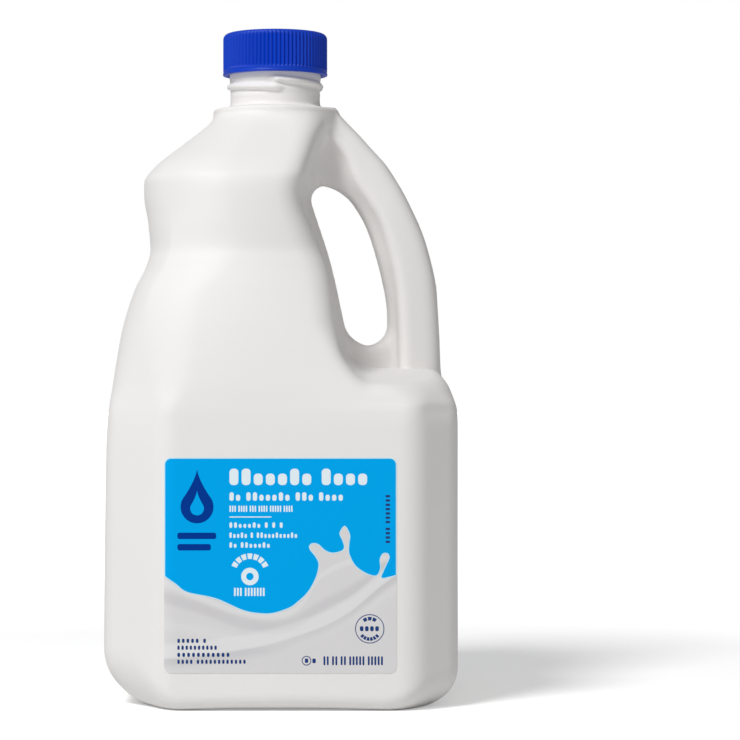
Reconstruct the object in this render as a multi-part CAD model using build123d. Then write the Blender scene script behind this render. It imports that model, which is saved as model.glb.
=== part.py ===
from build123d import *
from math import radians, tan
import os

# A blow-moulded HDPE milk jug of 96 fl oz (2.83 litres) with its screw cap on and two wrap labels.
# Frame: origin at the middle of the base, +Z up, front label towards -Y, handle towards +X.
# All sizes are millimetres.

# Body: a square with cut corners that narrows to a waist and ends in a sloped shoulder.
half_width = 68.2
half_depth = 68.2
base_round = 9.0            # rounding where the walls turn under
shoulder_start = 107.0      # the walls are straight up to here, so both label panels are flat
waist_height = 176.0        # the walls crease inwards here
ridge_height = 203.0        # and outwards here, where the sloped shoulder starts

# Height, left reach, right reach, half depth, left and right corner cut, rounding of the eight corners.
# Above the lower body the right reach is that of the handle, a little inside its outer skin.
foot = (0, -68.2, half_width, half_depth, 22.5, 17, 14)
stations = [
    (shoulder_start, -66.8, half_width, half_depth, 22.5, 17, 14),
    (115, -66.0, 67.5, 68.0, 22.5, 16, 14),
    (121, -65.3, 65.7, 67.6, 22.3, 16, 16),
    (132, -63.8, 61.6, 66.2, 20.5, 18, 18),
    (145, -61.5, 59.5, 64.0, 17.5, 21, 20),
    (160, -57.1, 58.5, 60.3, 16, 22, 20),
    (170, -52.8, 56.0, 57.1, 17, 23, 22),
    (waist_height, -51.4, 54.5, 55.4, 18, 22, 24),
    (187, -52.2, 50.5, 55.0, 20, 22, 26),
    (198, -53.9, 44.5, 54.4, 22, 22, 30),
    (ridge_height, -53.8, 42.0, 53.4, 22, 21, 28),
    (208, -50.6, 39.0, 49.6, 21, 20, 26),
    (218, -38.9, 30.0, 38.0, 18, 16, 21),
    (230, -25.6, 20.6, 23.8, 13, 12, 16),
]

# Handle: an oval tube that leaves the shoulder under the collar and lands on the lower body.
# Centre height and reach, half thickness seen from the front, half thickness across.
handle_rings = [
    (227.2, 19.7, 4.5, 7.8),
    (217.0, 29.6, 5.0, 8.3),
    (205.8, 36.3, 7.4, 9.2),
    (192.4, 44.5, 7.2, 10.2),
    (176.4, 50.4, 8.1, 11.0),
    (161.0, 53.5, 8.4, 11.4),
    (145.5, 54.6, 8.5, 11.6),
    (128.0, 55.1, 8.6, 11.6),
    (112.0, 55.1, 8.6, 11.0),
]

# Hand hole: round ends joined by a nearly straight edge by the body and a bowed one by the handle.
hole_top = (20.7, 194.7)
hole_top_radius = 8.4
hole_bottom = (34.3, 147.4)
hole_bottom_radius = 8.7
hole_body_bow = 1.3         # how far the edge by the body bulges into the hole
hole_handle_bow = 4.7       # how far the edge by the handle bulges outwards

# Recess between body and handle, front and back: its outline beside the middle web and at the skin.
# Its floor is a ledge that slopes down from the handle's foot to the skin.
web_half = 4.0
recess_inner = [
    (20.5, 230), (15, 216), (12.6, 205), (10.7, 196), (15.5, 180), (19.9, 166), (25, 145), (27.5, 137),
    (33.5, 131.5), (80, 130), (80, 230),
]
recess_outer = [
    (16, 230), (10.5, 216), (8, 205), (6.2, 196), (11.6, 180), (17.6, 166), (20.2, 145), (22, 134),
    (28, 124), (80, 121.5), (80, 230),
]

# Neck and collar, turned about their own axis, which stands a little left of the body's middle.
neck_x = -2.1
collar_radius = 24.5
collar_low = 226.0
collar_rim = 232.8
collar_slope = 11.3         # degrees, the collar's top falls away from the neck
neck_radius = 17.7
bead_radius = 19.3
bead_height = 242.4
bead_half = 1.3
finish_radius = 18.2        # the part of the neck that goes up inside the cap
cap_low = 246.7
overall_height = 263.4

# Cap: a plain cup over the neck, with a thin lip at its mouth.
cap_radius = 20.8
cap_lip_radius = 20.9
cap_lip_height = 1.6
cap_top = 2.0               # thickness of the top
cap_clearance = 0.2
cap_edge = 2.0              # rounding round the top

# Labels, one on each flat panel.
label_width = 87.6
label_height = 81.2
label_low = 14.5
label_thickness = 0.25
label_corner = 2.6


def section(z, left, right, depth, cut_left, cut_right, rounding):
    """A closed outline at one height: an oblong whose four corners are cut and then rounded."""
    corners = [
        (right, cut_right - depth), (right, depth - cut_right),
        (right - cut_right, depth), (left + cut_left, depth),
        (left, depth - cut_left), (left, cut_left - depth),
        (left + cut_left, -depth), (right - cut_right, -depth),
    ]
    face = make_face(Polyline(*corners, close=True))
    return Pos(0, 0, z) * fillet(face.vertices(), rounding)


def body_block():
    """The whole body out to the handle's skin, before the recesses and the hand hole are cut."""
    lower = loft([section(*foot), section(*stations[0])], ruled=True)
    lower = fillet(lower.edges().group_by(Axis.Z)[0], base_round)
    body = lower
    heights = [station[0] for station in stations]
    ends = [heights.index(height) for height in (shoulder_start, waist_height, ridge_height, heights[-1])]
    for first, last in zip(ends, ends[1:]):
        body += loft([section(*station) for station in stations[first:last + 1]])
    return body


def recess(side):
    """The space cut away between body and handle on one side; side is -1 for the front."""
    depths = (side * web_half, side * (half_depth + 6))
    wires = []
    for depth, outline in zip(depths, (recess_inner, recess_outer)):
        wires.append(Wire.make_polygon([Vector(x, depth, z) for x, z in outline], close=True))
    return Solid.make_loft(wires, ruled=True)


def handle():
    """The oval tube, lofted through rings that stand square to its centre line."""
    centres = [Vector(ring[1], 0, ring[0]) for ring in handle_rings]
    rings = []
    for i, (_, _, half_front, half_across) in enumerate(handle_rings):
        ahead = centres[min(i + 1, len(centres) - 1)]
        behind = centres[max(i - 1, 0)]
        plane = Plane(origin=centres[i], x_dir=(0, 1, 0), z_dir=ahead - behind)
        rings.append(plane * Ellipse(half_across, half_front))
    return loft(rings)


def hand_hole():
    """The hole through the jug between body and handle."""
    top = Vector(hole_top[0], 0, hole_top[1])
    bottom = Vector(hole_bottom[0], 0, hole_bottom[1])
    along = (bottom - top).normalized()
    outward = Vector(-along.Z, 0, along.X)
    left_top = top - outward * hole_top_radius
    left_bottom = bottom - outward * hole_bottom_radius
    right_top = top + outward * hole_top_radius
    right_bottom = bottom + outward * hole_bottom_radius
    edges = [
        ThreePointArc(left_top, top - along * hole_top_radius, right_top),
        ThreePointArc(right_top, (right_top + right_bottom) / 2 + outward * hole_handle_bow, right_bottom),
        ThreePointArc(right_bottom, bottom + along * hole_bottom_radius, left_bottom),
        ThreePointArc(left_bottom, (left_bottom + left_top) / 2 + outward * hole_body_bow, left_top),
    ]
    outline = Face(Wire(edges))
    return extrude(outline, amount=half_depth + 6, dir=(0, 1, 0), both=True)


def neck():
    """Collar, neck, bead and the plain stub that the cap covers."""
    shoulder_z = collar_rim + (collar_radius - neck_radius) * tan(radians(collar_slope))
    outline = [
        (0, collar_low),
        (collar_radius, collar_low),
        (collar_radius, collar_rim),
        (neck_radius, shoulder_z),
        (neck_radius, bead_height - bead_half),
        (bead_radius, bead_height - bead_half / 3),
        (bead_radius, bead_height + bead_half / 3),
        (finish_radius, bead_height + bead_half),
        (finish_radius, overall_height - cap_top),
        (0, overall_height - cap_top),
    ]
    profile = Plane.XZ * make_face(Polyline(*outline, close=True))
    return Pos(neck_x, 0, 0) * revolve(profile, axis=Axis.Z)


def jug_body():
    body = body_block() - recess(-1) - recess(1)
    body = body + handle() - hand_hole()
    return body + neck()


def cap():
    """Screw cap, a cup closed at the top, without the fine ribs round its side."""
    inner = finish_radius + cap_clearance
    outline = [
        (inner, cap_low),
        (cap_lip_radius, cap_low),
        (cap_lip_radius, cap_low + cap_lip_height),
        (cap_radius, cap_low + cap_lip_height),
        (cap_radius, overall_height),
        (0, overall_height),
        (0, overall_height - cap_top),
        (inner, overall_height - cap_top),
    ]
    cup = revolve(Plane.XZ * make_face(Polyline(*outline, close=True)), axis=Axis.Z)
    rim = cup.edges().filter_by(GeomType.CIRCLE).group_by(Axis.Z)[-1]
    return Pos(neck_x, 0, 0) * fillet(rim, cap_edge)


def label(side):
    """A thin printed sheet on one flat panel; side is -1 for the front."""
    sheet = RectangleRounded(label_width, label_height, label_corner)
    upright = Plane.XZ.offset(-side * half_depth) * sheet
    sheet_solid = extrude(upright, amount=label_thickness, dir=(0, side, 0))
    return Pos(0, 0, label_low + label_height / 2) * sheet_solid


parts = {
    "jug_body": jug_body(),
    "cap": cap(),
    "label_front": label(-1),
    "label_back": label(1),
}

os.makedirs("parts", exist_ok=True)
for name, shape in parts.items():
    export_step(shape, f"parts/{name}.step")
    box = shape.bounding_box()
    print(name, len(shape.solids()), "solid", round(shape.volume / 1000, 1), "ml", box.min, box.max)
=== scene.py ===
import math
import bpy
import bmesh
import numpy as np
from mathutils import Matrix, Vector
from mathutils.geometry import tessellate_polygon


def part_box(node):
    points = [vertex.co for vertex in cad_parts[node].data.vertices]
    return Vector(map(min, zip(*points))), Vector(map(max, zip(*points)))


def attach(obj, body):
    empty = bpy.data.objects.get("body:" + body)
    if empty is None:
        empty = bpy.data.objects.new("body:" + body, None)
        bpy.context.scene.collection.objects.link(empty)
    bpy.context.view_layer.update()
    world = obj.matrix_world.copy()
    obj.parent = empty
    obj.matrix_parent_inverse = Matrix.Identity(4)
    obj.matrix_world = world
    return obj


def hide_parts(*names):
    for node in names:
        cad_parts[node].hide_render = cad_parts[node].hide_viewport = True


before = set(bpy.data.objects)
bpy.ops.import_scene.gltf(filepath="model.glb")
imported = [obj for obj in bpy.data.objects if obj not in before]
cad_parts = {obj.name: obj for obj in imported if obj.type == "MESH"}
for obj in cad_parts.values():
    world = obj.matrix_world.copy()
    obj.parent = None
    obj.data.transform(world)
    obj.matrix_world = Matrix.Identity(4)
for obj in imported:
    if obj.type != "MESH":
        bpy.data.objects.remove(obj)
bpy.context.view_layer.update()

mm = 0.001
bodyLow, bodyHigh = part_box("jug_body")
capLow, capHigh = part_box("cap")
neckX = (capLow.x + capHigh.x) / 2 / mm     # the neck stands a little left of the body's middle
scene = bpy.context.scene


# camera, lamp and floor, in metres

cameraSetup = {"distance": 1.16, "height": 0.1212, "lens": 141.1, "shiftX": 0.121, "shiftY": 0.027}
lampSetup = {
    "turn": 33.5,                                    # degrees to the left of the camera
    "high": 48.8,                                    # degrees above the floor
    "distance": 2.5, "size": 0.75, "power": 38.6,    # a disk, with its power in watts
}
studio = {
    "sky": 0.28,                                     # strength of the even light from all round
    "floorSize": 30.0,
    "floorSeen": 0.96, "floorBounce": 0.86,          # the floor's tone to the camera, and to everything else
    "glowNear": 0.33, "glowFar": 1.0,                # added where the camera sees the floor, to whiten it
    "nearReach": 0.3, "farReach": 0.95,              # distances from the jug's middle for those two glows
}


def linear(hexColour):
    channels = [int(hexColour[i:i + 2], 16) / 255 for i in (1, 3, 5)]
    return tuple(c / 12.92 if c <= 0.04045 else ((c + 0.055) / 1.055) ** 2.4 for c in channels) + (1.0,)


def addNode(tree, kind, settings=None, links=None):
    # settings: node properties, or sockets by name or number; links: sockets and what they are joined to
    node = tree.nodes.new(kind)
    for key, value in (settings or {}).items():
        if isinstance(key, int) or key in node.inputs:
            node.inputs[key].default_value = value
        else:
            setattr(node, key, value)
    for key, source in (links or {}).items():
        tree.links.new(source, node.inputs[key])
    return node


def makeCamera():
    data = bpy.data.cameras.new("camera")
    data.lens = cameraSetup["lens"]
    data.sensor_width = 36
    data.shift_x = cameraSetup["shiftX"]
    data.shift_y = cameraSetup["shiftY"]
    camera = bpy.data.objects.new("camera", data)
    camera.location = (0, -cameraSetup["distance"], cameraSetup["height"])
    camera.rotation_euler = (math.radians(90), 0, 0)
    scene.collection.objects.link(camera)
    scene.camera = camera


def makeLamp():
    turn, high = math.radians(lampSetup["turn"]), math.radians(lampSetup["high"])
    data = bpy.data.lights.new("key", "AREA")
    data.shape = "DISK"
    data.size = lampSetup["size"]
    data.energy = lampSetup["power"]
    towards = Vector((-math.sin(turn) * math.cos(high), -math.cos(turn) * math.cos(high), math.sin(high)))
    lamp = bpy.data.objects.new("key", data)
    lamp.location = towards * lampSetup["distance"]
    lamp.rotation_euler = towards.to_track_quat("Z", "Y").to_euler()
    scene.collection.objects.link(lamp)


def makeWorld():
    # white to the camera, and a plain even light on the jug
    world = bpy.data.worlds.new("world")
    scene.world = world
    world.use_nodes = True
    tree = world.node_tree
    background = tree.nodes["Background"]
    background.inputs["Color"].default_value = (1, 1, 1, 1)
    path = addNode(tree, "ShaderNodeLightPath").outputs
    seen = addNode(tree, "ShaderNodeMath", {"operation": "MAXIMUM"},
                   {0: path["Is Camera Ray"], 1: path["Is Transmission Ray"]})
    level = addNode(tree, "ShaderNodeMapRange", {"To Min": studio["sky"], "To Max": 1.0},
                    {"Value": seen.outputs[0]})
    tree.links.new(level.outputs[0], background.inputs["Strength"])


def studioCard():
    # matt white card: it shows the jug's shadow, and glows to pure white further out
    material = bpy.data.materials.new("white studio card")
    material.use_nodes = True
    tree = material.node_tree
    tree.nodes.clear()
    path = addNode(tree, "ShaderNodeLightPath").outputs
    place = addNode(tree, "ShaderNodeTexCoord").outputs["Object"]
    reach = addNode(tree, "ShaderNodeVectorMath", {"operation": "LENGTH"}, {0: place})
    white = addNode(tree, "ShaderNodeMapRange",
                    {"From Min": studio["nearReach"], "From Max": studio["farReach"],
                     "To Min": studio["glowNear"], "To Max": studio["glowFar"]},
                    {"Value": reach.outputs["Value"]})
    topUp = addNode(tree, "ShaderNodeMath", {"operation": "MULTIPLY"},
                    {0: path["Is Camera Ray"], 1: white.outputs[0]})
    tone = addNode(tree, "ShaderNodeMapRange",
                   {"To Min": studio["floorBounce"], "To Max": studio["floorSeen"]},
                   {"Value": path["Is Camera Ray"]})
    card = addNode(tree, "ShaderNodeBsdfDiffuse", links={"Color": tone.outputs[0]})
    glow = addNode(tree, "ShaderNodeEmission", links={"Strength": topUp.outputs[0]})
    both = addNode(tree, "ShaderNodeAddShader", links={0: card.outputs[0], 1: glow.outputs[0]})
    addNode(tree, "ShaderNodeOutputMaterial", links={"Surface": both.outputs[0]})
    return material


def makeFloor():
    half = studio["floorSize"] / 2
    mesh = bpy.data.meshes.new("floor")
    corners = [(-half, -half, 0), (half, -half, 0), (half, half, 0), (-half, half, 0)]
    mesh.from_pydata(corners, [], [(0, 1, 2, 3)])
    mesh.materials.append(studioCard())
    floor = bpy.data.objects.new("floor", mesh)
    scene.collection.objects.link(floor)


makeCamera()
makeLamp()
makeWorld()
makeFloor()
scene.view_settings.view_transform = "Standard"
print("camera, lamp and floor ready")


# the blown body: one closed skin drawn from a distance field, in millimetres
# a name ending in From is where a change begins, and one ending in Over is the distance that it takes

jug = {
    "cell": 1.4,                                   # size of the cells that the skin is drawn from
    "fineAbove": 228.5, "fineBeside": 2.2,         # half that size round the neck and along the parting line
    # rounding where the walls turn under, at the front and back and to the left and right
    "heelFront": 6.0, "heelLeft": 22.0, "heelRight": 15.0,
    "heelLeftFrom": -36.0, "heelLeftOver": 26.0, "heelRightFrom": 40.0, "heelRightOver": 22.0,
    # the base stands on its four corners, with arches between them and its middle pushed up
    "footLift": 0.7, "archHalf": 30.0,
    "pushUp": 3.0, "pushUpFrom": 14.0, "pushUpOver": 22.0,
    "cornerReach": 0.3045,                         # 4 (1 - cos 22.5), which lets softMax round a cut corner
    "bowMiddle": -18.0, "bowHalf": 30.0,           # the upper front and back bow to each side of this line
    "shoulderTop": 232.0,
    # the space beside the handle leaves a web in the middle
    "webHalf": 4.0, "webRound": 6.0, "wallRound": 9.0, "recessRound": 12.0,
    # the ledge below the hand hole dips beside the web, has its crest a little out from there,
    # and drops from the crest to the skin; it also falls a little towards the handle
    "ledgeHeight": 131.4, "ledgeDip": 6.0, "ledgeCrest": 0.3,
    "ledgeDrop": 10.5, "ledgeDropFrom": 14.0, "ledgeDropOver": 20.0,
    "ledgeFall": 0.03, "ledgeFallFrom": 38.0,
    "ledgeRound": 4.5, "ledgeRoundFrom": 4.0, "ledgeRoundOver": 12.0,
    "holeTop": 203.1, "holeBottom": 138.6, "holeCorner": 8.4, "holeRound": 4.0,
    # cosines of how far these faces lean, which keep their fields true distances
    "wallLean": 0.97, "ledgeLean": 0.98, "holeLeftLean": 0.96, "holeRightLean": 0.9,
    # the handle: how softly it joins at its foot and higher up, how square it is, and how much
    # narrower on its outer side
    "footBlend": 2.5, "handleBlend": 8.0, "handleBlendFrom": 140.0, "handleBlendOver": 35.0,
    "handleSquare": 3.8, "handleTaper": 0.2, "handleLow": 90.0,
    "collarRadius": 24.5, "collarRim": 232.8, "collarLow": 226.0, "collarSlope": 0.2,
    "collarRound": 0.7, "collarBlend": 1.5,
    "neckRadius": 17.7, "neckBlend": 1.0,
    "finishRadius": 18.2, "finishFrom": 242.4, "finishOver": 3.0,    # the part of the neck inside the cap
    # the thread has two starts; each falls as it turns, and sinks into the neck at its ends
    "threadRadius": 19.3, "threadHalf": 1.1, "threadHeight": 242.2, "threadBlend": 1.0,
    "threadStarts": (80, 260), "threadTurn": 205, "threadMiddle": 100, "threadEnd": 14,    # in degrees
    "threadFall": 1.6, "threadSink": 1.6,          # for a quarter turn, and at the ends
    # the mould's parting line, down the middle of the sides
    "seamHigh": 0.3, "seamHalf": 0.7, "seamTop": 239.0, "seamOver": 4.0,
}
halfWidth = (bodyHigh.x - bodyLow.x) / 2 / mm
halfDepth = (bodyHigh.y - bodyLow.y) / 2 / mm
neckTop = bodyHigh.z / mm

# height, left reach, right reach, half depth, left and right corner cut, rounding of the corners, bow
stations = np.array([
    (0, -halfWidth, halfWidth, halfDepth, 22.5, 17, 14, 0),
    (30, -halfWidth + 0.1, halfWidth, halfDepth, 22.5, 17, 14, 0),
    (100, -67.2, halfWidth, halfDepth, 22.5, 17, 14, 0),
    (107, -66.8, halfWidth, halfDepth, 22.5, 17, 14, 0),
    (113.5, -66.2, 67.8, 68.1, 22.5, 17, 11, 0.1),
    (116.5, -65.9, 67.1, 67.9, 22.5, 15.3, 13, 0.3),
    (121, -65.3, 65.7, 67.6, 22.3, 15.8, 20, 0.6),
    (132, -63.8, 61.6, 66.2, 20.5, 17.5, 26, 1.3),
    (145, -61.5, 59.5, 64.0, 17.5, 21, 30, 2.2),
    (160, -57.1, 58.5, 60.3, 14, 22, 38, 3.4),
    (170, -52.8, 56.0, 57.1, 15.5, 23, 46, 4.4),
    (176, -51.4, 54.5, 55.4, 17, 22, 46, 4.8),
    (187, -52.2, 50.5, 55.0, 20, 22, 36, 4.8),
    (198, -53.9, 44.5, 54.4, 22, 22, 32, 4.6),
    (203, -53.8, 42.0, 53.4, 22, 21, 30, 3.8),
    (208, -50.6, 39.0, 49.6, 21, 20, 28, 2.8),
    (218, -38.9, 30.0, 38.0, 18, 16, 23, 1.0),
    (227, -28.2, 22.8, 26.6, 13.5, 12, 18, 0),
    (231, -25.2, 20.2, 23.2, 13, 12, 18, 0),
])

# handle rings: height, reach, half thickness seen from the front, half thickness across
handleRings = np.array([
    (227.2, 19.7, 4.5, 7.8),
    (217.0, 29.6, 5.0, 8.3),
    (205.8, 36.3, 7.4, 9.2),
    (192.4, 44.5, 7.2, 10.2),
    (176.4, 50.4, 8.1, 11.0),
    (161.0, 53.5, 8.4, 11.4),
    (145.5, 54.6, 8.5, 11.6),
    (128.0, 55.1, 8.6, 11.6),
    (112.0, 55.1, 8.6, 11.0),
])

# height and reach of the recess wall beside the web and out at the skin, and of the hole's two long edges
wallInner = np.array([(120, 28), (138, 27), (145, 25), (166, 19.9), (196, 10.7), (216, 15), (230, 20.5)])
wallOuter = np.array([
    (120, 26), (138, 21), (166, 17.6), (180, 11.6), (196, 6.2), (205, 8), (216, 10.5), (230, 16)])
holeLeft = np.array([(130, 30), (147.4, 25.3), (170, 20.3), (194.7, 12.5), (215, 6)])
holeRight = np.array([
    (130, 42.9), (153, 42.9), (166, 41.2), (178.8, 37.8), (188.4, 34), (194.8, 30.2), (206, 22)])


def throughKnots(at, heights, values):
    # a smooth curve through the knots that never overshoots them
    slopes = np.diff(values) / np.diff(heights)
    tangents = np.zeros(len(values))
    same = slopes[:-1] * slopes[1:] > 0
    safe = np.where(same, slopes[:-1] + slopes[1:], 1)
    tangents[1:-1] = np.where(same, 2 * slopes[:-1] * slopes[1:] / safe, 0)
    tangents[0], tangents[-1] = slopes[0], slopes[-1]
    at = np.clip(at, heights[0], heights[-1])
    i = np.clip(np.searchsorted(heights, at) - 1, 0, len(heights) - 2)
    span = heights[i + 1] - heights[i]
    t = (at - heights[i]) / span
    return ((2 * t ** 3 - 3 * t ** 2 + 1) * values[i] + (t ** 3 - 2 * t ** 2 + t) * span * tangents[i]
            + (3 * t ** 2 - 2 * t ** 3) * values[i + 1] + (t ** 3 - t ** 2) * span * tangents[i + 1])


def smoothStep(t):
    t = np.clip(t, 0, 1)
    return t * t * (3 - 2 * t)


def softMax(a, b, reach):
    # the larger of two distances, eased together where they are less than reach apart
    overlap = np.maximum(reach - np.abs(a - b), 0) / reach
    return np.maximum(a, b) + overlap * overlap * reach / 4


def softMin(a, b, reach):
    return -softMax(-a, -b, reach)


def roundMax(a, b, radius):
    # the larger of two distances, with a true arc of this radius where the two faces meet
    outside = np.hypot(np.maximum(a + radius, 0), np.maximum(b + radius, 0))
    return np.minimum(-radius, np.maximum(a, b)) + outside


def bodyField(x, y, z):
    # the whole body out to the handle's skin; in every field here negative is inside
    left, right, depth, cutLeft, cutRight, rounding, bow = [
        throughKnots(z, stations[:, 0], stations[:, i]) for i in range(1, 8)]
    middle = (left + right) / 2
    across, reach = np.abs(x - middle), (right - left) / 2
    depth = depth - bow * ((x - jug["bowMiddle"]) / jug["bowHalf"]) ** 2
    cut = np.where(x < middle, cutLeft, cutRight)
    away = np.abs(y)
    flats = np.maximum(across - reach, away - depth)
    corner = (across + away - (reach + depth - cut)) / math.sqrt(2)
    wall = softMax(flats, corner, jug["cornerReach"] * rounding)
    arches = np.maximum(np.exp(-(x / jug["archHalf"]) ** 4), np.exp(-(y / jug["archHalf"]) ** 4))
    raised = smoothStep((-wall - jug["pushUpFrom"]) / jug["pushUpOver"])
    ground = jug["footLift"] * arches + jug["pushUp"] * raised
    toLeft = smoothStep((jug["heelLeftFrom"] - x) / jug["heelLeftOver"])
    toRight = smoothStep((x - jug["heelRightFrom"]) / jug["heelRightOver"])
    heel = jug["heelFront"] + (jug["heelLeft"] - jug["heelFront"]) * toLeft
    heel = heel + (jug["heelRight"] - jug["heelFront"]) * toRight
    return np.maximum(roundMax(wall, ground - z, heel), z - jug["shoulderTop"])


def recessField(x, y, z):
    # negative where the body stays, positive in the space beside the handle
    away = np.abs(y)
    out = np.clip((away - jug["webHalf"]) / (halfDepth - jug["webHalf"]), 0, 1.2)    # 0 at the web, 1 outside
    inner = throughKnots(z, wallInner[:, 0], wallInner[:, 1])
    outer = throughKnots(z, wallOuter[:, 0], wallOuter[:, 1])
    wall = (x - inner - (outer - inner) * out) * jug["wallLean"]
    dip = jug["ledgeDip"] * (1 - smoothStep(out / jug["ledgeCrest"]))
    drop = jug["ledgeDrop"] * np.maximum(out - jug["ledgeCrest"] / 2, 0)
    drop = drop * smoothStep((x - jug["ledgeDropFrom"]) / jug["ledgeDropOver"])
    fall = jug["ledgeFall"] * np.maximum(x - jug["ledgeFallFrom"], 0)
    ledge = (z - jug["ledgeHeight"] + dip + drop + fall) * jug["ledgeLean"]
    return softMin(softMin(wall, ledge, jug["recessRound"]), away - jug["webHalf"], jug["webRound"])


def holeField(x, z):
    # negative in the hand hole
    left = (throughKnots(z, holeLeft[:, 0], holeLeft[:, 1]) - x) * jug["holeLeftLean"]
    right = (x - throughKnots(z, holeRight[:, 0], holeRight[:, 1])) * jug["holeRightLean"]
    ends = np.maximum(z - jug["holeTop"], jug["holeBottom"] - z)
    return roundMax(np.maximum(left, right), ends, jug["holeCorner"])


def handleLine():
    # the handle's centre line and half thicknesses, in six steps from ring to ring
    last = len(handleRings) - 1
    ring = np.arange(last + 1, dtype=float)
    fine = np.linspace(0, last, 6 * last + 1)
    return np.array([throughKnots(fine, ring, handleRings[:, i]) for i in (1, 0, 2, 3)]).T


def handleField(x, y, z):
    # worked out only where the handle is; elsewhere it counts as far off
    wideX, wideZ = np.broadcast_arrays(x, z)
    near = (wideX > 0) & (wideZ > jug["handleLow"])
    spotX, spotZ = wideX[near], wideZ[near]
    best, front, across, lean = [np.full(spotX.shape, fill) for fill in (1e6, 1.0, 1.0, 0.0)]
    line = handleLine()
    for a, b in zip(line[:-1], line[1:]):
        step = b[:2] - a[:2]
        t = np.clip(((spotX - a[0]) * step[0] + (spotZ - a[1]) * step[1]) / step.dot(step), 0, 1)
        gap = np.hypot(spotX - a[0] - t * step[0], spotZ - a[1] - t * step[1])
        nearer = gap < best
        best = np.where(nearer, gap, best)
        front = np.where(nearer, a[2] + t * (b[2] - a[2]), front)
        across = np.where(nearer, a[3] + t * (b[3] - a[3]), across)
        outward = ((spotZ - a[1]) * step[0] - (spotX - a[0]) * step[1]) / np.hypot(*step)
        lean = np.where(nearer, outward, lean)
    across = across * (1 - jug["handleTaper"] * np.clip(lean / front, -1, 1))
    gaps, fronts, acrosses = [np.full(wideX.shape, fill) for fill in (100.0, 10.0, 10.0)]
    gaps[near], fronts[near], acrosses[near] = best, front, across
    power = jug["handleSquare"]
    ahead, aside = np.maximum(gaps / fronts, 1e-3), np.maximum(np.abs(y) / acrosses, 1e-3)
    ratio = (ahead ** power + aside ** power) ** (1 / power)
    steep = np.hypot(ahead ** (power - 1) / fronts, aside ** (power - 1) / acrosses) * ratio ** (1 - power)
    return (ratio - 1) / steep


def neckField(x, y, z):
    # the collar with its sloped top, the neck, and the thread under the cap
    out, below, slope = np.hypot(x - neckX, y), jug["collarLow"] - z, jug["collarSlope"]
    cone = (z - jug["collarRim"] + (out - jug["collarRadius"]) * slope) / math.hypot(1, slope)
    collar = np.maximum(roundMax(out - jug["collarRadius"], cone, jug["collarRound"]), below)
    wider = smoothStep((z - jug["finishFrom"]) / jug["finishOver"])
    radius = jug["neckRadius"] + (jug["finishRadius"] - jug["neckRadius"]) * wider
    neck = np.maximum(np.maximum(out - radius, z - neckTop), below)
    neck = softMin(neck, collar, jug["neckBlend"])
    angle = np.degrees(np.arctan2(y, x - neckX))
    for start in jug["threadStarts"]:
        along = (angle - start) % 360
        height = jug["threadHeight"] - jug["threadFall"] * (along - jug["threadMiddle"]) / 90
        left = jug["threadTurn"] - along
        full = smoothStep(along / jug["threadEnd"]) * smoothStep(left / jug["threadEnd"])
        middle = jug["threadRadius"] - jug["threadHalf"] - jug["threadSink"] * (1 - full)
        thread = np.hypot(out - middle, z - height) - jug["threadHalf"]
        neck = softMin(neck, thread, jug["threadBlend"])
    return neck


def jugField(x, y, z):
    # everything joined: body less recess and hole, handle, neck and the parting line
    above = smoothStep((z - jug["ledgeHeight"] - jug["ledgeRoundFrom"]) / jug["ledgeRoundOver"])
    edge = jug["ledgeRound"] + (jug["wallRound"] - jug["ledgeRound"]) * above
    body = softMax(bodyField(x, y, z), recessField(x, y, z), edge)
    body = softMax(body, -holeField(x, z), jug["holeRound"])
    above = smoothStep((z - jug["handleBlendFrom"]) / jug["handleBlendOver"])
    blend = jug["footBlend"] + (jug["handleBlend"] - jug["footBlend"]) * above
    body = softMin(body, handleField(x, y, z), blend)
    body = softMin(body, neckField(x, y, z), jug["collarBlend"])
    seam = jug["seamHigh"] * np.exp(-(y / jug["seamHalf"]) ** 2)
    return body - seam * smoothStep((jug["seamTop"] - z) / jug["seamOver"])


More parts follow.
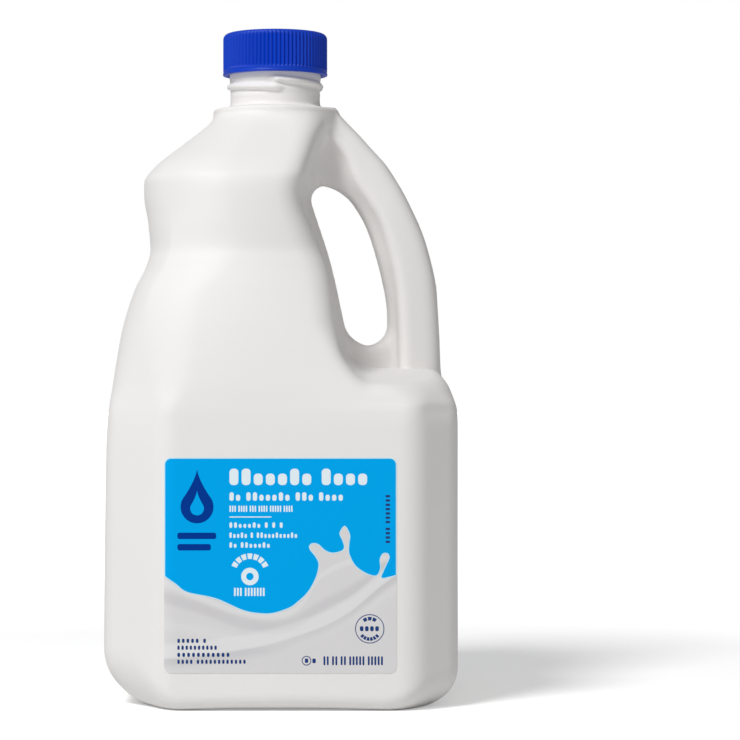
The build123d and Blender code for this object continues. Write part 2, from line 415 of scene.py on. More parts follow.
def drawSkin(field, low, high, cell):
    # one vertex in each cell that the surface crosses, one quad round each grid edge that it crosses
    axes = [np.arange(low[i], high[i] + cell, cell) for i in range(3)]
    values = field(axes[0][:, None, None], axes[1][None, :, None], axes[2][None, None, :])
    shape = np.array(values.shape) - 1
    total, count = np.zeros(tuple(shape) + (3,)), np.zeros(tuple(shape))
    crossings = []
    for axis in range(3):
        first = [slice(None)] * 3
        second = [slice(None)] * 3
        first[axis], second[axis] = slice(0, -1), slice(1, None)
        a, b = values[tuple(first)], values[tuple(second)]
        cross = (a < 0) != (b < 0)
        part = np.where(cross, a / np.where(cross, a - b, 1), 0)
        crossings.append((cross, a < 0))
        others = [i for i in range(3) if i != axis]
        for du in (0, 1):
            for dv in (0, 1):
                take = [slice(None)] * 3
                take[others[0]] = slice(du, du + shape[others[0]])
                take[others[1]] = slice(dv, dv + shape[others[1]])
                hit = cross[tuple(take)]
                count += hit
                total[..., others[0]] += hit * du
                total[..., others[1]] += hit * dv
                total[..., axis] += part[tuple(take)]
    used = count > 0
    index = np.full(tuple(shape), -1)
    index[used] = np.arange(used.sum())
    corner = np.argwhere(used)
    points = (corner + total[used] / count[used][:, None]) * cell + np.array([a[0] for a in axes])
    quads = []
    for axis in range(3):
        cross, inside = crossings[axis]
        u, v = [(1, 2), (2, 0), (0, 1)][axis]
        spot = np.argwhere(cross)
        spot = spot[(spot[:, u] > 0) & (spot[:, v] > 0) & (spot[:, u] < shape[u]) & (spot[:, v] < shape[v])]
        ring = []
        for du, dv in ((-1, -1), (0, -1), (0, 0), (-1, 0)):
            cellAt = spot.copy()
            cellAt[:, u] += du
            cellAt[:, v] += dv
            ring.append(index[tuple(cellAt.T)])
        ring = np.array(ring).T
        outward = inside[tuple(spot.T)]
        ring[~outward] = ring[~outward][:, ::-1]
        quads.append(ring)
    return points, np.concatenate(quads)


def settle(field, points, rounds):
    # moves every point onto the surface along the field's slope
    probe, longest = 0.04, 0.6
    for _ in range(rounds):
        value = field(*points.T)
        slope = np.empty_like(points)
        for axis in range(3):
            shift = np.zeros(3)
            shift[axis] = probe
            slope[:, axis] = (field(*(points + shift).T) - field(*(points - shift).T)) / (2 * probe)
        size = np.maximum((slope ** 2).sum(axis=1), 0.05)
        step = np.clip(value / size, -longest, longest)
        points = points - slope * step[:, None]
    return points


def relax(points, quads):
    # moves every point half way to the middle of its neighbours
    total, count = np.zeros_like(points), np.zeros(len(points))
    for i in range(4):
        a, b = quads[:, i], quads[:, (i + 1) % 4]
        np.add.at(total, a, points[b])
        np.add.at(count, a, 1)
        np.add.at(total, b, points[a])
        np.add.at(count, b, 1)
    return points + (total / count[:, None] - points) / 2


def makeJugBody():
    spare = 2 * jug["cell"]
    low = (-halfWidth - spare, -halfDepth - spare, -spare)
    high = (halfWidth + spare, halfDepth + spare, neckTop + spare)
    points, quads = drawSkin(jugField, low, high, jug["cell"])
    for _ in range(3):
        points = settle(jugField, relax(points, quads), 2)
    points = settle(jugField, points, 3)
    mesh = bpy.data.meshes.new("jugBody")
    mesh.from_pydata((points * mm).tolist(), [], quads.tolist())
    mesh.validate()
    fine = bmesh.new()
    fine.from_mesh(mesh)
    upper, beside = jug["fineAbove"] * mm, jug["fineBeside"] * mm
    near = [e for e in fine.edges if all(v.co.z > upper or abs(v.co.y) < beside for v in e.verts)]
    bmesh.ops.subdivide_edges(fine, edges=near, cuts=1, use_grid_fill=True)
    coords = np.array([v.co for v in fine.verts]) / mm
    chosen = (coords[:, 2] > jug["fineAbove"] - 0.1) | (np.abs(coords[:, 1]) < jug["fineBeside"] + 0.1)
    coords[chosen] = settle(jugField, coords[chosen], 4)
    for vert, place in zip(fine.verts, coords * mm):
        vert.co = place
    bmesh.ops.recalc_face_normals(fine, faces=fine.faces)
    fine.to_mesh(mesh)
    fine.free()
    mesh.shade_smooth()
    piece = bpy.data.objects.new("jugBody", mesh)
    scene.collection.objects.link(piece)
    return piece


hdpe = {
    "base": "#f4f2f0", "cloud": "#f2f0ee", "cloudSize": 0.03,    # two close tones in patches, in metres
    "glossLow": 0.56, "glossHigh": 0.64,                         # roughness of the two
    "rippleSize": 0.022, "rippleDeep": 0.00012,                  # slight waviness of a thin blown wall
    "grainSize": 0.0006, "grainDeep": 0.000012,                  # 0.1 mm grain, drawn coarser to show
}


def blownHdpe():
    # satin milk-white plastic: faint cloudiness in tone and gloss, and the fine grain of a blasted mould
    material = bpy.data.materials.new("blown HDPE")
    material.use_nodes = True
    tree = material.node_tree
    shader = tree.nodes["Principled BSDF"]
    shader.inputs["IOR"].default_value = 1.54
    place = addNode(tree, "ShaderNodeTexCoord").outputs["Object"]
    cloud = addNode(tree, "ShaderNodeTexNoise", {"Scale": 1 / hdpe["cloudSize"], "Detail": 2.0},
                    {"Vector": place})
    tone = addNode(tree, "ShaderNodeMix",
                   {"data_type": "RGBA", 6: linear(hdpe["base"]), 7: linear(hdpe["cloud"])},
                   {0: cloud.outputs["Fac"]})
    gloss = addNode(tree, "ShaderNodeMapRange", {"To Min": hdpe["glossLow"], "To Max": hdpe["glossHigh"]},
                    {"Value": cloud.outputs["Fac"]})
    grain = addNode(tree, "ShaderNodeTexNoise", {"Scale": 1 / hdpe["grainSize"], "Detail": 1.0},
                    {"Vector": place})
    ripple = addNode(tree, "ShaderNodeTexNoise", {"Scale": 1 / hdpe["rippleSize"], "Detail": 0.0},
                     {"Vector": place})
    broad = addNode(tree, "ShaderNodeBump", {"Strength": 1.0, "Distance": hdpe["rippleDeep"]},
                    {"Height": ripple.outputs["Fac"]})
    fine = addNode(tree, "ShaderNodeBump", {"Strength": 1.0, "Distance": hdpe["grainDeep"]},
                   {"Height": grain.outputs["Fac"], "Normal": broad.outputs["Normal"]})
    tree.links.new(tone.outputs[2], shader.inputs["Base Color"])
    tree.links.new(gloss.outputs[0], shader.inputs["Roughness"])
    tree.links.new(fine.outputs["Normal"], shader.inputs["Normal"])
    return material


jugBody = makeJugBody()
jugBody.data.materials.append(blownHdpe())
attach(jugBody, "root")
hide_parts("jug_body")
print("jug body ready:", len(jugBody.data.polygons), "faces")


# the screw cap: a turned cup whose grip ribs are pressed in by Geometry Nodes

capShape = {
    "colour": "#003dc4", "roughness": 0.4, "shine": 0.3,
    "roughnessVaries": 0.05,                             # more or less, as the moulded skin is uneven
    "patchSize": 0.004, "patchDeep": 0.00002,            # in patches of this size and depth, in metres
    "ribs": 80, "stepsPerRib": 8,
    "ribDepth": 0.7, "ribSharpness": 0.8,                # below 1 the crests are wider than the grooves
    "ribLow": 1.9, "ribLowOver": 0.6,                    # heights of the ribs above the mouth, and the
    "ribHigh": 16.0, "ribHighOver": 1.4,                 # distance in which they reach their full depth
    "skinFrom": 2.2, "skinFull": 0.6,                    # only what is this near the outside is pressed in
    "radius": 20.8, "edge": 2.2, "bandRadius": 20.75, "lipRadius": 20.9, "lipHigh": 0.7,
    "wall": 2.4, "lid": 2.0,
}


def turned(name, profile, segments, centreX):
    # turns a profile that starts and ends on the axis; each end closes on one vertex
    angles = np.linspace(0, 2 * np.pi, segments, endpoint=False)
    inner = np.array(profile[1:-1])
    ring = np.stack([np.outer(inner[:, 0], np.cos(angles)) + centreX, np.outer(inner[:, 0], np.sin(angles)),
                     np.repeat(inner[:, 1:], segments, axis=1)], axis=2).reshape(-1, 3)
    points = np.concatenate([ring, [(centreX, 0, profile[0][1]), (centreX, 0, profile[-1][1])]])
    start, end = len(ring), len(ring) + 1
    faces = []
    for i in range(segments):
        j = (i + 1) % segments
        faces.append((start, i, j))
        for row in range(len(inner) - 1):
            a, b = row * segments, (row + 1) * segments
            faces.append((a + i, b + i, b + j, a + j))
        last = (len(inner) - 1) * segments
        faces.append((last + i, end, last + j))
    mesh = bpy.data.meshes.new(name)
    mesh.from_pydata((points * mm).tolist(), [], faces)
    shell = bmesh.new()
    shell.from_mesh(mesh)
    bmesh.ops.recalc_face_normals(shell, faces=shell.faces)
    shell.to_mesh(mesh)
    shell.free()
    piece = bpy.data.objects.new(name, mesh)
    scene.collection.objects.link(piece)
    return piece


def capProfile():
    # from the middle of the top over its edge, down the ribs and the band, round the lip and up the bore
    low, high = capLow.z / mm, capHigh.z / mm
    radius, edge, lip = capShape["radius"], capShape["edge"], capShape["lipRadius"]
    ribLow, lipTop = low + capShape["ribLow"], low + capShape["lipHigh"]
    bore, inside = radius - capShape["wall"], high - capShape["lid"]
    profile = [(0, high), (8, high), (15, high)]
    for turn in np.radians(np.linspace(90, 0, 9)):
        profile.append((radius - edge + edge * math.cos(turn), high - edge + edge * math.sin(turn)))
    profile += [(radius, z) for z in np.linspace(high - edge - 0.8, ribLow + 1.2, 6)]
    profile += [(radius, z) for z in np.linspace(ribLow + 0.9, ribLow, 4)]
    profile += [(capShape["bandRadius"], ribLow - 0.12), (capShape["bandRadius"], lipTop + 0.25)]
    profile += [(lip - 0.03, lipTop), (lip, low + 0.35), (lip - 0.1, low + 0.08), (lip - 0.4, low)]
    profile += [(bore + 0.7, low), (bore + 0.1, low + 0.5), (bore, low + 1.2), (bore, inside), (0, inside)]
    return profile


def ribTree(material):
    # sinks even grooves into a turned cup's side, so that ribs stand between them
    tree = bpy.data.node_groups.new("cap ribs", "GeometryNodeTree")
    tree.interface.new_socket("Geometry", in_out="INPUT", socket_type="NodeSocketGeometry")
    for name in ("Ribs", "Depth", "Sharpness", "Axis X", "Low", "High", "Outer Radius"):
        tree.interface.new_socket(name, in_out="INPUT", socket_type="NodeSocketFloat")
    tree.interface.new_socket("Geometry", in_out="OUTPUT", socket_type="NodeSocketGeometry")
    given = addNode(tree, "NodeGroupInput").outputs
    position = addNode(tree, "GeometryNodeInputPosition").outputs[0]
    spot = addNode(tree, "ShaderNodeSeparateXYZ", links={0: position}).outputs
    made = {socket.name: socket for socket in list(given) + list(spot)}
    # each step: what it makes, how, and from what; a ramp eases from 0 to 1 between its last two
    steps = [
        ("sideways", "SUBTRACT", "X", "Axis X"),
        ("angle", "ARCTAN2", "Y", "sideways"),
        ("turned", "MULTIPLY", "angle", "Ribs"),
        ("wave", "COSINE", "turned"),
        ("crest", "MULTIPLY_ADD", "wave", 0.5, 0.5),
        ("rib", "POWER", "crest", "Sharpness"),
        ("groove", "SUBTRACT", 1.0, "rib"),
        ("low full", "ADD", "Low", capShape["ribLowOver"] * mm),
        ("above", "ramp", "Z", "Low", "low full"),
        ("high full", "SUBTRACT", "High", capShape["ribHighOver"] * mm),
        ("below", "ramp", "Z", "High", "high full"),
        ("sideways squared", "MULTIPLY", "sideways", "sideways"),
        ("y squared", "MULTIPLY", "Y", "Y"),
        ("reach squared", "ADD", "sideways squared", "y squared"),
        ("reach", "SQRT", "reach squared"),
        ("skin from", "SUBTRACT", "Outer Radius", capShape["skinFrom"] * mm),
        ("skin full", "SUBTRACT", "Outer Radius", capShape["skinFull"] * mm),
        ("outside", "ramp", "reach", "skin from", "skin full"),
        ("from below", "MULTIPLY", "groove", "above"),
        ("on the side", "MULTIPLY", "below", "outside"),
        ("share", "MULTIPLY", "from below", "on the side"),
        ("sunk", "MULTIPLY", "share", "Depth"),
        ("inward", "MULTIPLY", "sunk", -1.0),
    ]
    for name, way, *sources in steps:
        kind, settings = "ShaderNodeMath", {"operation": way}
        if way == "ramp":
            kind, settings = "ShaderNodeMapRange", {"interpolation_type": "SMOOTHSTEP"}
        settings.update({slot: source for slot, source in enumerate(sources) if source not in made})
        links = {slot: made[source] for slot, source in enumerate(sources) if source in made}
        made[name] = addNode(tree, kind, settings, links).outputs[0]
    outward = addNode(tree, "ShaderNodeCombineXYZ", links={0: made["sideways"], 1: made["Y"]})
    unit = addNode(tree, "ShaderNodeVectorMath", {"operation": "NORMALIZE"}, {0: outward.outputs[0]})
    shift = addNode(tree, "ShaderNodeVectorMath", {"operation": "SCALE"},
                    {0: unit.outputs[0], "Scale": made["inward"]})
    moved = addNode(tree, "GeometryNodeSetPosition",
                    links={"Geometry": given["Geometry"], "Offset": shift.outputs[0]})
    real = addNode(tree, "GeometryNodeRealizeInstances", links={0: moved.outputs[0]})
    dressed = addNode(tree, "GeometryNodeSetMaterial", {"Material": material}, {"Geometry": real.outputs[0]})
    addNode(tree, "NodeGroupOutput", links={0: dressed.outputs[0]})
    return tree


def mouldedPolypropylene():
    # bright blue cap plastic: semi-gloss, with a very slight unevenness of the moulded skin
    material = bpy.data.materials.new("moulded polypropylene")
    material.use_nodes = True
    tree = material.node_tree
    shader = tree.nodes["Principled BSDF"]
    shader.inputs["Base Color"].default_value = linear(capShape["colour"])
    shader.inputs["Specular IOR Level"].default_value = capShape["shine"]
    place = addNode(tree, "ShaderNodeTexCoord").outputs["Object"]
    patch = addNode(tree, "ShaderNodeTexNoise", {"Scale": 1 / capShape["patchSize"], "Detail": 2.0},
                    {"Vector": place})
    gloss = addNode(tree, "ShaderNodeMapRange",
                    {"To Min": capShape["roughness"] - capShape["roughnessVaries"],
                     "To Max": capShape["roughness"] + capShape["roughnessVaries"]},
                    {"Value": patch.outputs["Fac"]})
    bump = addNode(tree, "ShaderNodeBump", {"Strength": 1.0, "Distance": capShape["patchDeep"]},
                   {"Height": patch.outputs["Fac"]})
    tree.links.new(gloss.outputs[0], shader.inputs["Roughness"])
    tree.links.new(bump.outputs["Normal"], shader.inputs["Normal"])
    return material


def plainMesh(piece, modifier):
    # the piece keeps what its modifier makes, as its own mesh
    bpy.context.view_layer.update()
    seen = piece.evaluated_get(bpy.context.evaluated_depsgraph_get())
    result = bpy.data.meshes.new_from_object(seen)
    piece.modifiers.remove(modifier)
    piece.data = result


def makeCap():
    piece = turned("screwCap", capProfile(), capShape["ribs"] * capShape["stepsPerRib"], neckX)
    tree = ribTree(mouldedPolypropylene())
    modifier = piece.modifiers.new("ribs", "NODES")
    modifier.node_group = tree
    low = capLow.z
    values = {
        "Ribs": float(capShape["ribs"]), "Depth": capShape["ribDepth"] * mm,
        "Sharpness": capShape["ribSharpness"],
        "Axis X": neckX * mm, "Low": low + capShape["ribLow"] * mm, "High": low + capShape["ribHigh"] * mm,
        "Outer Radius": capShape["radius"] * mm,
    }
    for item in tree.interface.items_tree:
        if item.in_out == "INPUT" and item.name in values:
            modifier[item.identifier] = values[item.name]
    plainMesh(piece, modifier)
    piece.data.shade_smooth()
    piece.data.set_sharp_from_angle(angle=math.radians(55))
    return piece


screwCap = makeCap()
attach(screwCap, "root")
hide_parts("cap")
print("cap ready:", len(screwCap.data.polygons), "faces")


# the printed labels: a thin film bent onto each flat panel, and every ink a flat shape a little proud of it

labelShape = {
    "film": 0.15, "inkStep": 0.02,                   # the film's thickness, and what each layer of ink adds
    "filmSunk": 0.05, "inkSunk": 0.03,               # how deep film reaches into wall, and ink into film
    "corner": 2.6, "rim": 0.36,                      # width of the pale line round the blue field
    "milk": "#e3e1e1", "milkShade": "#d0ced0", "milkLight": "#ecebeb",
    "blue": "#00acf6", "edge": "#c8f0fc", "white": "#ecf9ff", "navy": "#043a96", "darkPrint": "#27447f",
    "roughness": 0.5, "shine": 0.03,
    "bendStep": 0.8, "bendWidth": 6.0,               # cuts in the film by its left edge, where the wall turns
}
labelLow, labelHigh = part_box("label_front")
filmLeft, filmRight = labelLow.x / mm, labelHigh.x / mm
filmLow, filmHigh = labelLow.z / mm, labelHigh.z / mm
inkNames = ("milk", "edge", "blue", "white", "navy", "darkPrint")

# the poured milk's edge from left to right: across and up, in millimetres
milkEdge = [
    (-43.8, 51.3), (-39.5, 48.4), (-35, 45.2), (-24.5, 42.9), (-14.3, 38.5), (-8.3, 37.3), (-3, 37.3),
    (3, 39.2), (6, 41.2), (10.2, 45.2), (13.2, 50.6), (14.3, 55.3), (13.4, 58), (11.1, 61), (10.8, 62.5),
    (12, 63.6), (14.3, 63.2), (16.8, 61), (19.6, 60), (22.8, 60.7), (23.9, 62.1), (23.2, 64.7),
    (22.2, 67.4), (24.2, 70.1), (26.2, 66.8), (25.9, 62.9), (26, 59.5), (28.2, 55.3), (31.6, 52.7),
    (35, 51.4), (36.6, 51.9), (37.5, 54.3), (37.3, 57.4), (38.4, 59.6), (40.3, 59.8), (41.1, 58.3),
    (40.3, 56.1), (39, 53.3), (38.1, 50.6), (40.8, 50.9), (43.8, 51.7),
]


def smoothPath(points, steps=6):
    # a curve through all the points, with straight-on ends
    points = [np.array(p, float) for p in points]
    ends = [2 * points[0] - points[1]] + points + [2 * points[-1] - points[-2]]
    path = []
    for before, a, b, after in zip(ends, ends[1:], ends[2:], ends[3:]):
        for t in np.arange(steps) / steps:
            path.append(0.5 * (2 * a + (b - before) * t + (2 * before - 5 * a + 4 * b - after) * t ** 2
                               + (3 * a - before - 3 * b + after) * t ** 3))
    return np.array(path + [points[-1]])


def arc(centre, radius, start, end, steps):
    turn = np.radians(np.linspace(start, end, steps))
    return np.stack([centre[0] + radius * np.cos(turn), centre[1] + radius * np.sin(turn)], axis=1)


def roundedBox(left, right, low, high, radius):
    radius = min(radius, (right - left) / 2.01, (high - low) / 2.01)
    corners = [(right - radius, high - radius, 0), (left + radius, high - radius, 90),
               (left + radius, low + radius, 180), (right - radius, low + radius, 270)]
    return np.concatenate([arc(corner[:2], radius, corner[2], corner[2] + 90, 5) for corner in corners])


def grown(outline, amount):
    # the outline moved outwards by this amount
    ahead, behind = np.roll(outline, -1, axis=0), np.roll(outline, 1, axis=0)
    along = ahead - behind
    area = (outline[:, 0] * ahead[:, 1] - ahead[:, 0] * outline[:, 1]).sum()
    outward = np.stack([along[:, 1], -along[:, 0]], axis=1) * np.sign(area)
    return outline + outward / np.linalg.norm(outward, axis=1)[:, None] * amount


def press(sheet, loops, back, front, ink):
    # one closed flat shape between two depths; the first loop is its outline and the others are holes
    start = len(sheet["points"])
    flat = [tuple(p) for loop in loops for p in loop]
    size = len(flat)
    sheet["points"] += [(u, back, w) for u, w in flat] + [(u, front, w) for u, w in flat]
    for a, b, c in tessellate_polygon([[Vector((u, w, 0)) for u, w in loop] for loop in loops]):
        other = start + size
        sheet["faces"] += [(start + a, start + b, start + c), (other + c, other + b, other + a)]
        sheet["inks"] += [ink, ink]
    offset = start
    for loop in loops:
        for i in range(len(loop)):
            j = (i + 1) % len(loop)
            sheet["faces"].append((offset + i, offset + j, offset + j + size, offset + i + size))
            sheet["inks"].append(ink)
        offset += len(loop)


def printInk(sheet, loops, ink, layer=2):
    top = labelShape["film"] + labelShape["inkStep"] * layer
    press(sheet, loops, labelShape["film"] - labelShape["inkSunk"], top, inkNames.index(ink))


def blockRow(sheet, left, right, low, high, words, ink, tall=1.0, upright=False, fill=0.8):
    # a line of small blocks in word-like groups, where the pack carries a line of print
    # tall is the height of a small block in a full one's, and fill its width in its pitch
    wordGap = 0.6
    pitch = (right - left) / (sum(words) + wordGap * (len(words) - 1))
    at = left
    for count in words:
        for i in range(count):
            top = high if i == 0 or (i + count) % 4 == 0 else low + (high - low) * tall
            box = roundedBox(at, at + pitch * fill, low, top, 0.3 * pitch)
            if upright:
                box = np.stack([-box[:, 1], box[:, 0]], axis=1)
            printInk(sheet, [box], ink)
            at += pitch
        at += wordGap * pitch


def blockArc(sheet, centre, inner, outer, start, end, count, ink):
    # blocks along a curved line of print, from one angle to another in degrees
    step, gap = (end - start) / count, 0.12
    for i in range(count):
        a, b = start + step * (i + gap), start + step * (i + 1 - gap)
        printInk(sheet, [np.concatenate([arc(centre, outer, a, b, 4), arc(centre, inner, b, a, 4)])], ink)


def inkRing(sheet, centre, outer, inner, ink):
    steps = 48
    last = 360 - 360 / steps
    printInk(sheet, [arc(centre, outer, 0, last, steps), arc(centre, inner, last, 0, steps)], ink)


def drop(centre, radius, tip):
    # a falling drop: the lower part a circle, the upper part drawn out to a point
    low = arc(centre, radius, 150, 390, 30)
    half, start = radius * 0.866, centre[1] + radius * 0.5    # where the circle is left, 30 degrees up
    steps = np.linspace(0.08, 0.96, 10)
    right = [(centre[0] + half * (1 - t) ** 1.5, start + (tip - start) * t) for t in steps]
    left = [(2 * centre[0] - u, w) for u, w in reversed(right)]
    return np.concatenate([low, right, [(centre[0], tip)], left])


def filmAndWave(sheet):
    # the milk-coloured film, then the blue field over the milk's edge, with a pale line round it
    film, corner, rim = labelShape["film"], labelShape["corner"], labelShape["rim"]
    outline = roundedBox(filmLeft, filmRight, filmLow, filmHigh, corner)
    press(sheet, [outline], -labelShape["filmSunk"], film, inkNames.index("milk"))
    left, right, high, inset = filmLeft + rim, filmRight - rim, filmHigh - rim, corner - rim
    path = smoothPath(milkEdge)
    path[0][0], path[-1][0] = left, right
    path = path[(path[:, 0] >= left) & (path[:, 0] <= right)]
    corners = [arc((right - inset, high - inset), inset, 0, 90, 7),
               arc((left + inset, high - inset), inset, 90, 180, 7)]
    field = np.concatenate([path] + corners)
    paleLine = np.clip(grown(field, rim), (filmLeft, 0), (filmRight, filmHigh))
    printInk(sheet, [paleLine], "edge", 0.6)
    printInk(sheet, [field], "blue", 1.2)


def frontArt(sheet):
    filmAndWave(sheet)
    textLeft, margin, whiteSeal, darkSeal, mark = -19.2, -38.8, (-11.5, 52.2), (33.6, 31.3), (9.8, 19.3)
    # heading, strap line and small lines in white
    blockRow(sheet, textLeft, 33.8, 85.4, 91.6, (7, 4), "white", 0.7, fill=0.74)
    blockRow(sheet, textLeft, 24.3, 79.5, 82.7, (2, 7, 3, 4), "white", 0.72, fill=0.66)
    blockRow(sheet, textLeft, 4.9, 75.3, 77.7, (3, 4, 3, 4, 5, 4), "white", 1.0, fill=0.62)
    printInk(sheet, [roundedBox(textLeft, -3.4, 73.2, 73.6, 0.1)], "white")
    blockRow(sheet, textLeft, 1.5, 69.3, 71.4, (7, 1, 1, 1), "white", 0.72, fill=0.6)
    blockRow(sheet, textLeft, 6.8, 65.5, 67.6, (5, 1, 11), "white", 0.72, fill=0.6)
    blockRow(sheet, textLeft, -3.4, 61.8, 63.9, (2, 7), "white", 0.72, fill=0.6)
    # white seal
    blockArc(sheet, whiteSeal, 5.4, 7.5, 160, 20, 7, "white")
    inkRing(sheet, (-11.5, 51.0), 3.3, 1.4, "white")
    blockRow(sheet, -17.5, -5.5, 43.6, 46.8, (3, 7), "white", 1.0, fill=0.6)
    # drop with two bars below it
    printInk(sheet, [drop((-31.4, 77.2), 6.2, 91.6), drop((-31.4, 76.6), 2.6, 83.5)[::-1]], "navy")
    printInk(sheet, [roundedBox(margin, -24.2, 65.1, 67.5, 0.8)], "navy")
    printInk(sheet, [roundedBox(margin, -26.2, 60.8, 63.2, 0.8)], "navy")
    # dark print on the milk: a line up the left edge, four short lines and a round seal
    blockRow(sheet, 63.6, 82.4, -41.3, -39.5, (4, 7), "darkPrint", 1.0, upright=True, fill=0.55)
    for high, right, words in ((27.6, -27.3, (5, 1)), (25.0, -23.3, (10,)), (22.3, -18.4, (11,)),
                               (19.7, -12.4, (4, 12))):
        blockRow(sheet, margin, right, high - 1.6, high, words, "darkPrint", 1.0, fill=0.55)
    inkRing(sheet, darkSeal, 5.5, 5.2, "darkPrint")
    blockArc(sheet, darkSeal, 3.2, 4.5, 130, 50, 3, "darkPrint")
    blockArc(sheet, darkSeal, 3.2, 4.5, 215, 325, 6, "darkPrint")
    blockRow(sheet, 29.9, 37.6, 30.4, 32.3, (4,), "darkPrint", 1.0, fill=0.7)
    # small round mark, two bars and the line at the bottom right
    inkRing(sheet, mark, 1.8, 1.5, "darkPrint")
    printInk(sheet, [roundedBox(9.2, 10.4, 18.5, 20.1, 0.3)], "darkPrint")
    printInk(sheet, [roundedBox(12.0, 13.3, 18.4, 20.1, 0.4)], "darkPrint")
    blockRow(sheet, 16.2, 39.1, 17.6, 21.0, (2, 2, 2, 5, 5), "darkPrint", 1.0, fill=0.55)


def backArt(sheet):
    filmAndWave(sheet)
    textLeft = -37.5
    # heading and lines in white
    blockRow(sheet, textLeft, 5, 86.6, 91.4, (6, 5), "white", 0.72)
    blockRow(sheet, textLeft, -4, 81.2, 83.8, (3, 6, 4), "white", 0.75)
    lineStep = 3.4
    for row, right in enumerate((4, 0, 6, -8, -16)):
        low = 75.6 - lineStep * row
        words = (4, 6, 3, 7) if row < 3 else (4, 6, 3)
        blockRow(sheet, textLeft, right, low, low + 1.6, words, "white", 0.78, fill=0.74)
    # white panel with four bars, a ring and two dark lines
    printInk(sheet, [roundedBox(textLeft, 2.5, 20, 33.5, 1.0)], "white")
    barStep = 2.6
    for row, right in enumerate((-4, -10, -1, -14)):
        low = 22.2 + barStep * row
        printInk(sheet, [roundedBox(-35.5, right, low, low + 0.8, 0.2)], "darkPrint", 3)
    inkRing(sheet, (33.6, 28), 5.5, 5.2, "darkPrint")
    blockRow(sheet, 8.5, 24.5, 20.4, 22.4, (5, 4), "darkPrint", 1.0, fill=0.7)
    blockRow(sheet, 8.5, 21.5, 24.4, 26.2, (4, 4), "darkPrint", 1.0, fill=0.7)


def printedInk(name):
    # printed polypropylene film: one flat ink with a light satin sheen
    material = bpy.data.materials.new("printed film " + name)
    material.use_nodes = True
    shader = material.node_tree.nodes["Principled BSDF"]
    shader.inputs["Base Color"].default_value = linear(labelShape[name])
    shader.inputs["Roughness"].default_value = labelShape["roughness"]
    shader.inputs["Specular IOR Level"].default_value = labelShape["shine"]
    return material


# the folds' lines are drawn over this half width and this height, in millimetres
foldHalf, foldHigh = 44, 100
lowFold = [(-44, 20), (-16.4, 23.2), (5, 28.3), (24, 36.4), (38.4, 47.9), (44, 52)]
middleFold = [(-44, 33), (-28, 30), (-10, 26), (6, 27), (20, 32), (44, 47)]
highFold = [(-44, 43), (-30, 39), (-12, 33), (2, 32.5), (16, 40), (30, 47.5), (44, 60)]
crestFold = [(-44, 49), (-30, 43), (-14, 37.6), (-3, 36.4), (6, 39), (16, 52), (44, 58)]
# each fold's line, how far its tone reaches above and below the line, and its strength, light or dark
milkFolds = [
    (lowFold, (4.0, 6.5), (-0.6, 0.8), 0.45),
    (lowFold, (-0.6, 0.4), (-5, -1.2), -0.34),
    (highFold, (0.5, 4), (-3.5, -0.5), -0.3),
    (crestFold, (0.3, 1.5), (-2.4, -0.4), 0.36),
    (middleFold, (0, 4), (-4, 0), 0.22),
]


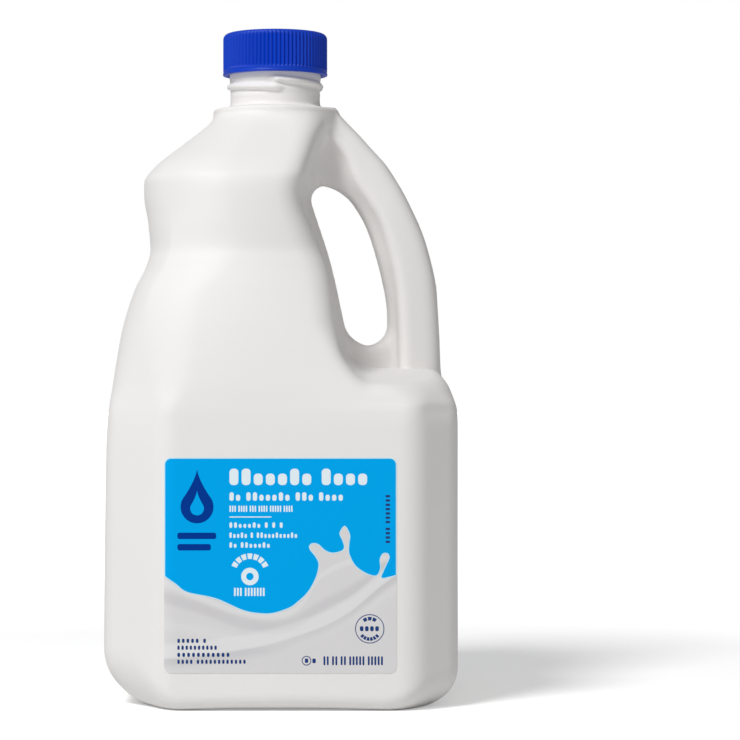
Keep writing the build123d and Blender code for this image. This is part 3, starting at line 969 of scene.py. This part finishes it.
def pouredMilkInk():
    # the pale picture of poured milk: broad soft folds, light on their crests and grey in their hollows
    material = printedInk("milk")
    tree = material.node_tree
    place = addNode(tree, "ShaderNodeTexCoord").outputs["Object"]
    spot = addNode(tree, "ShaderNodeSeparateXYZ", links={0: place}).outputs
    across = addNode(tree, "ShaderNodeMapRange", {"From Min": -foldHalf * mm, "From Max": foldHalf * mm},
                     {"Value": spot["X"]})
    tone = None
    for line, above, below, amount in milkFolds:
        curve = addNode(tree, "ShaderNodeFloatCurve", links={"Value": across.outputs[0]})
        points = curve.mapping.curves[0].points
        for i, (u, w) in enumerate(line):
            at = ((u + foldHalf) / (2 * foldHalf), w / foldHigh)
            if i < 2:
                points[i].location = at
            else:
                points.new(*at)
        curve.mapping.update()
        height = addNode(tree, "ShaderNodeMath", {"operation": "MULTIPLY_ADD", 1: -foldHigh * mm},
                         {0: curve.outputs[0], 2: spot["Z"]})
        eased = []
        for start, end in (below, above[::-1]):
            settings = {"interpolation_type": "SMOOTHSTEP", "From Min": start * mm, "From Max": end * mm}
            eased.append(addNode(tree, "ShaderNodeMapRange", settings, {"Value": height.outputs[0]}))
        band = addNode(tree, "ShaderNodeMath", {"operation": "MULTIPLY"},
                       {0: eased[0].outputs[0], 1: eased[1].outputs[0]})
        part = addNode(tree, "ShaderNodeMath", {"operation": "MULTIPLY_ADD", 1: amount, 2: 0.5},
                       {0: band.outputs[0]})
        if tone is not None:
            tree.links.new(tone, part.inputs[2])
        tone = part.outputs[0]
    ramp = addNode(tree, "ShaderNodeValToRGB", links={0: tone})
    ramp.color_ramp.elements[0].color = linear(labelShape["milkShade"])
    ramp.color_ramp.elements[1].color = linear(labelShape["milkLight"])
    middle = ramp.color_ramp.elements.new(0.5)
    middle.color = linear(labelShape["milk"])
    tree.links.new(ramp.outputs[0], tree.nodes["Principled BSDF"].inputs["Base Color"])
    return material


def makeLabel(name, side, art, inks):
    # the art is drawn as seen by someone facing the panel, then bent onto the panel's skin
    sheet = {"points": [], "faces": [], "inks": []}
    art(sheet)
    mesh = bpy.data.meshes.new(name)
    flat = np.array(sheet["points"])
    mesh.from_pydata((flat * (-side, 1, 1)).tolist(), [], sheet["faces"])
    mesh.polygons.foreach_set("material_index", sheet["inks"])
    shell = bmesh.new()
    shell.from_mesh(mesh)
    step = labelShape["bendStep"]
    for cut in np.arange(filmLeft + step, filmLeft + labelShape["bendWidth"], step):
        everything = list(shell.verts) + list(shell.edges) + list(shell.faces)
        bmesh.ops.bisect_plane(shell, geom=everything, plane_co=(float(cut), 0, 0), plane_no=(1, 0, 0))
    spots = np.array([v.co for v in shell.verts])
    skin = np.stack([spots[:, 0], np.full(len(spots), side * halfDepth), spots[:, 2]], axis=1)
    for _ in range(4):
        skin[:, 1] -= side * jugField(*skin.T)
    for vert, (x, depth, z), surface in zip(shell.verts, spots, skin):
        vert.co = (x * mm, (surface[1] + side * depth) * mm, z * mm)
    bmesh.ops.recalc_face_normals(shell, faces=shell.faces)
    shell.to_mesh(mesh)
    shell.free()
    mesh.shade_smooth()
    mesh.set_sharp_from_angle(angle=math.radians(30))
    for ink in inks:
        mesh.materials.append(ink)
    piece = bpy.data.objects.new(name, mesh)
    scene.collection.objects.link(piece)
    return piece


inks = [pouredMilkInk()] + [printedInk(name) for name in inkNames[1:]]
for name, node, side, art in (("frontLabel", "label_front", -1, frontArt),
                              ("backLabel", "label_back", 1, backArt)):
    label = makeLabel(name, side, art, inks)
    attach(label, "root")
    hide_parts(node)
    print(name, "ready:", len(label.data.polygons), "faces")
